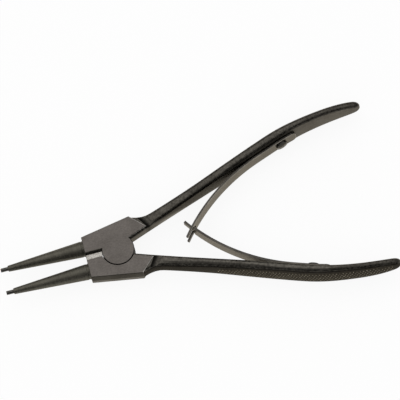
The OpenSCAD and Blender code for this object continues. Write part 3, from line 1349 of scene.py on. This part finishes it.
@dataclass
class LeafSpring:
    """Strip of spring steel that lies on a handle's inner face and bows away from it."""

    line: HandleLine
    lift: float
    free: float
    root: float = 96.4
    width: float = 7.2
    thickness: float = 1.1
    bow_r: float = 88.0
    corner_r: float = 2.0
    edge: float = 0.2
    cuts: int = 71

    @property
    def length(self) -> float:
        """Length of the strip from its screwed end to its free end."""
        return self.root - self.lift + self.free

    def free_point(self, u: float) -> Vector:
        """Point of the handle-side face at a distance from where the strip lifts off."""
        at = self.line.heading(self.lift)
        return self.line.point(self.lift) + self.bow_r * (left(at + u / self.bow_r) - left(at))

    def strip(self) -> Object:
        """Makes a straight strip along X, with round corners at its screwed end.

        Returns:
            The strip, with the cuts that it bends at.
        """
        middle = (self.length / 2, self.thickness / 2, 0)
        strip = block("spring", (self.length, self.thickness, self.width), middle)
        with shaping(strip):
            pick(strip, Pick.EDGE, lambda e: lies_at(e, 0) and is_along(e, Way.THICKNESS))
            bevel(self.corner_r, steps=5)
            for i in range(1, self.cuts):
                cut_across(self.length * i / self.cuts)
        return strip

    def dress(self, strip: Object) -> Object:
        """Rounds the edges, gives faces and edges their finish and bends the strip.

        Args:
            strip: the straight strip with its free end cut.

        Returns:
            The spring, in the lever's space.
        """
        break_edges(strip, self.edge, degrees=50)
        strip.data.materials.clear()
        coat(strip, SPRING, SPRING_EDGE, SPRING_HIGHLIGHT, by=self.face_finish)
        flat = self.line.bend_from
        bent = Run(self.root - flat, 1 / self.line.bend_r)
        runs = [bent, Run(flat - self.lift), Run(self.free, 1 / self.bow_r)]
        bend_along(strip, self.line.point(self.root), self.line.heading(self.root) + math.pi, runs)
        soften(strip, degrees=40)
        return strip

    @staticmethod
    def face_finish(face: Face) -> Steel:
        """Chooses the finish of one face of the straight strip.

        Args:
            face: the face.

        Returns:
            Its finish: flat, a painted highlight on the rounded edges away from the handle, or edge.
        """
        if abs(face.normal.y) > SQUARE:
            return SPRING
        return SPRING_HIGHLIGHT if face.normal.y > SLIGHT else SPRING_EDGE


@dataclass
class ForkedSpring(LeafSpring):
    """Spring whose free end is slotted."""

    slot_w: float = 4.2
    slot_len: float = 7.4
    slot_round: float = 0.49
    cutter_t: float = 6.0

    def build(self) -> Object:
        """Cuts the slot with a round bottom and dresses the spring.

        Returns:
            The spring, in the lever's space.
        """
        strip = self.strip()
        bottom = self.length - self.slot_len
        size = (self.slot_len + REACH, self.cutter_t, self.slot_w)
        slot = block("slot", size, (bottom + size[0] / 2, 0, 0))
        with shaping(slot):
            pick(slot, Pick.EDGE, lambda e: lies_at(e, bottom) and is_along(e, Way.THICKNESS))
            bevel(self.slot_w * self.slot_round, steps=8)
        combine(strip, slot, Cut.REMOVE)
        return self.dress(strip)


@dataclass
class TonguedSpring(LeafSpring):
    """Spring whose free end narrows to a tongue."""

    tongue_w: float = 3.0
    tongue_len: float = 6.1
    step: float = 0.12

    def build(self) -> Object:
        """Narrows the end behind square shoulders and dresses the spring.

        Returns:
            The spring, in the lever's space.
        """
        strip = self.strip()
        shoulder = self.length - self.tongue_len
        with shaping(strip):
            cut_across(shoulder)
            cut_across(shoulder + self.step)
            pick(strip, Pick.VERT, lambda v: v.co.x > shoulder + self.step - TOUCH)
            stretch((1, 1, self.tongue_w / self.width), (0, 0, 0))
        return self.dress(strip)


@dataclass
class SpringScrew:
    """Slotted screw with a raised head that holds a spring on its handle."""

    line: HandleLine
    at: float = 88.6
    seat: float = 1.13
    head_r: float = 2.7
    rim_h: float = 0.9
    dome_h: float = 0.4
    dome_steps: int = 6
    dome_flat: float = 0.4
    slot_w: float = 1.0
    slot_h: float = 0.6
    edge: float = 0.1

    def build(self) -> Object:
        """Turns the head, raises its dome, saws the slot and sets it on the spring.

        Returns:
            The screw, in the lever's space.
        """
        screw = rod("spring_screw", SMALL_SIDES, self.head_r, self.rim_h, (0, 0, self.rim_h / 2))
        with shaping(screw):
            pick(screw, Pick.FACE, lambda f: f.normal.z > SQUARE)
            self.raise_dome()
        coat(screw, SCREW)
        top = (0, 0, self.rim_h + self.dome_h)
        slot = block("slot", (4 * self.head_r, self.slot_w, 2 * self.slot_h), top)
        # The slot's faces carry a painted highlight
        coat(slot, SLOT_HIGHLIGHT)
        combine(screw, slot, Cut.REMOVE)
        break_edges(screw, self.edge, degrees=40)
        soften(screw, degrees=40)
        along = self.line.heading(self.at)
        foot = self.line.point(self.at) - self.seat * left(along)
        upright = Matrix.Rotation(math.pi / 2, 4, "X")
        screw.matrix_world = Matrix.Translation(foot) @ Matrix.Rotation(along, 4, "Z") @ upright
        return screw

    def raise_dome(self) -> None:
        """Extrudes the head's top, which is selected, in steps along a sphere."""
        dome_r = (self.head_r**2 + self.dome_h**2) / (2 * self.dome_h)
        radius = self.head_r
        height = self.rim_h
        for i in range(1, self.dome_steps + 1):
            to_h = self.dome_h * (1 - (1 - i / (self.dome_steps + self.dome_flat)) ** 2)
            to_r = math.sqrt(max(0.0, dome_r**2 - (dome_r - self.dome_h + to_h) ** 2))
            rise = self.rim_h + to_h - height
            extrude((0, 0, rise))
            stretch((to_r / radius, to_r / radius, 1), (0, 0, height + rise))
            radius = to_r
            height += rise


@dataclass
class Studio:
    """Pale floor, soft light from above and behind, and a long lens over the tool, in metres."""

    # Camera, with its lens and sensor in millimetres
    tilt: float = math.radians(21.5)
    roll: float = math.radians(14.65)
    field_of_view: float = 0.18
    lens: float = 1200.0
    sensor: float = 36.0
    clip_end: float = 30.0
    centre: Triple = (0.04127, 0.01114, 0.0119)
    # Floor and world
    floor_z: float = -0.003
    floor_size: float = 8.0
    floor_cuts: int = 8
    floor_white: float = 0.9
    world_light: float = 0.85
    # Dark card and lamp
    card_r: float = 1.0
    card_low: float = 0.05
    card_h: float = 0.6
    card_near: float = -0.3
    card_rise: Triple = (0, 0.2, 1.7)
    lamp_power: float = 1.2
    lamp_size: float = 0.9
    lamp_at: Triple = (-0.2, 0.6, 1.0)
    lamp_aim: Triple = (0.03, 0, 0)

    @staticmethod
    def matt(name: str, tone: float, rough: float, gloss: float) -> bpy.types.Material:
        """Makes a plain grey material for the studio.

        Args:
            name: its name.
            tone: its grey.
            rough: its roughness.
            gloss: its specular level.

        Returns:
            The material.
        """
        material = bpy.data.materials.new(name)
        material.use_nodes = True
        shader = material.node_tree.nodes["Principled BSDF"]
        inputs = {"Base Color": (tone, tone, tone, 1), "Roughness": rough, "Specular IOR Level": gloss}
        feed(material.node_tree, shader, inputs)
        return material

    def floor(self) -> None:
        """A wide pale floor under the tool, nearly white to the camera and in mirrors."""
        cuts = {"x_subdivisions": self.floor_cuts, "y_subdivisions": self.floor_cuts}
        bpy.ops.mesh.primitive_grid_add(size=self.floor_size, location=(0, 0, self.floor_z), **cuts)
        floor = started("floor")
        material = self.matt("pale_floor", tone=0.95, rough=0.9, gloss=0.1)
        tree = material.node_tree
        mirrored = any_ray(tree, "Glossy", "Transmission")
        share = reckoned(tree, "MULTIPLY_ADD", any_ray(tree, "Camera"), self.floor_white, mirrored)
        lit = tree.nodes["Principled BSDF"].outputs["BSDF"]
        white = add_node(tree, "Emission", {}).outputs["Emission"]
        mix = add_node(tree, "MixShader", {"Fac": share, 1: lit, 2: white})
        feed(tree, tree.nodes["Material Output"], {"Surface": mix.outputs["Shader"]})
        floor.data.materials.append(material)

    def world(self) -> None:
        """White round about, a little dimmer as light than as a background."""
        world = bpy.data.worlds.new("studio")
        bpy.context.scene.world = world
        world.use_nodes = True
        tree = world.node_tree
        seen = any_ray(tree, "Camera", "Glossy", "Transmission")
        level = mapped(tree, seen, (0.0, 1.0), (self.world_light, 1.0))
        feed(tree, tree.nodes["Background"], {"Color": (1, 1, 1, 1), "Strength": level})

    def dark_card(self) -> None:
        """Dark cloth round the table, highest on the near side, which the steel mirrors as a dark room."""
        top = self.card_low + self.card_h
        bpy.ops.mesh.primitive_cylinder_add(
            vertices=BORE_SIDES, radius=self.card_r, depth=self.card_h, end_fill_type="NOTHING",
            location=(0, 0, self.card_low + self.card_h / 2),
        )
        card = started("dark_card")
        with shaping(card):
            near = self.card_near
            pick(card, Pick.EDGE, lambda e: all(v.co.z > top - TOUCH and v.co.y < near for v in e.verts))
            extrude(self.card_rise)
        card.data.materials.append(self.matt("dark_card", tone=0.02, rough=1.0, gloss=0.0))
        card.visible_camera = False
        card.visible_diffuse = False
        card.visible_shadow = False

    def lamp(self) -> None:
        """One large soft lamp from above and behind."""
        light = bpy.data.lights.new("soft_box", "AREA")
        light.energy = self.lamp_power
        light.size = self.lamp_size
        lamp = bpy.data.objects.new("soft_box", light)
        lamp.location = self.lamp_at
        aim = Vector(self.lamp_aim) - lamp.location
        lamp.rotation_euler = aim.to_track_quat("-Z", "Y").to_euler()
        bpy.context.scene.collection.objects.link(lamp)

    def camera(self) -> None:
        """A long lens that looks along the photograph's line, rolled as the photograph is."""
        data = bpy.data.cameras.new("camera")
        data.lens = self.lens
        data.sensor_width = self.sensor
        data.clip_end = self.clip_end
        camera = bpy.data.objects.new("camera", data)
        bpy.context.scene.collection.objects.link(camera)
        back = Vector((0, -math.sin(self.tilt), math.cos(self.tilt)))
        up = Vector((0, math.cos(self.tilt), math.sin(self.tilt)))
        level = Vector((1, 0, 0))
        right = math.cos(self.roll) * level - math.sin(self.roll) * up
        top = math.sin(self.roll) * level + math.cos(self.roll) * up
        distance = self.field_of_view * self.lens / self.sensor
        turn = Matrix((right, top, back)).transposed().to_4x4()
        camera.matrix_world = Matrix.Translation(Vector(self.centre) + distance * back) @ turn
        bpy.context.scene.camera = camera

    def build(self) -> None:
        """Sets up the whole studio."""
        bpy.context.scene.view_settings.view_transform = "Standard"
        self.floor()
        self.world()
        self.dark_card()
        self.lamp()
        self.camera()


def crossing(upper: LeafSpring, lower: LeafSpring) -> Vector:
    """Finds where the two springs cross, seen along the pivot.

    Args:
        upper: the spring of the upper lever.
        lower: the spring of the lower lever.

    Returns:
        The point between them, in the upper lever's millimetres.
    """
    steps = 200
    over = [upper.free_point(upper.free * i / steps) for i in range(steps + 1)]
    under = [lower.free_point(lower.free * i / steps) for i in range(steps + 1)]
    pairs = [(a, Vector((b.x, -b.y, 0))) for a in over for b in under]
    first, second = min(pairs, key=lambda pair: (pair[0] - pair[1]).length)
    return (first + second) / 2


def main() -> None:
    """Builds every piece, sets all but the leaf springs on their bodies and lights the tool."""
    logging.basicConfig(level=logging.INFO, format="%(name)s: %(message)s")
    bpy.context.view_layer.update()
    line = HandleLine()
    lever = Lever(line)
    forging = lever.build()
    # Paints shade and light into the forging's points
    PaintedShading(lever).paint(forging)
    knurl = Knurl(lever).build()
    pin = TipPin(lever).build()
    screw = SpringScrew(line).build()
    for half in Half:
        stand_for(settle(forging, half, "forging"), half, "half")
        grip = settle(knurl, half, "knurl")
        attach(grip, half.body)
        stand_for(settle(pin, half, "pin"), half, "tip")
        stand_for(settle(screw, half, "screw"), half, "spring_screw")
    fork = ForkedSpring(line, lift=75.8, free=50.2)
    tongue = TonguedSpring(line, lift=79.6, free=55.4)
    meet = Half.UPPER.place() @ crossing(fork, tongue)
    for half, spring in ((Half.UPPER, fork), (Half.LOWER, tongue)):
        made = spring.build()
        piece = settle(made, half, "leaf")
        bpy.data.objects.remove(made)
        start = half.place() @ line.point(spring.lift)
        half.body
        half.other.body
        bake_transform(piece)
        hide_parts(half.named("spring"))
    for pattern in (forging, knurl, pin, screw):
        bpy.data.objects.remove(pattern)
    rivet = frame["nodes"]["pivot_rivet"]
    rivet.data.materials.clear()
    rivet.data.materials.append(GROUND.material())
    LOG.info("%s: %d faces, as packed", rivet.name, len(rivet.data.polygons))
    Studio().build()


if __name__ == "__main__":
    main()
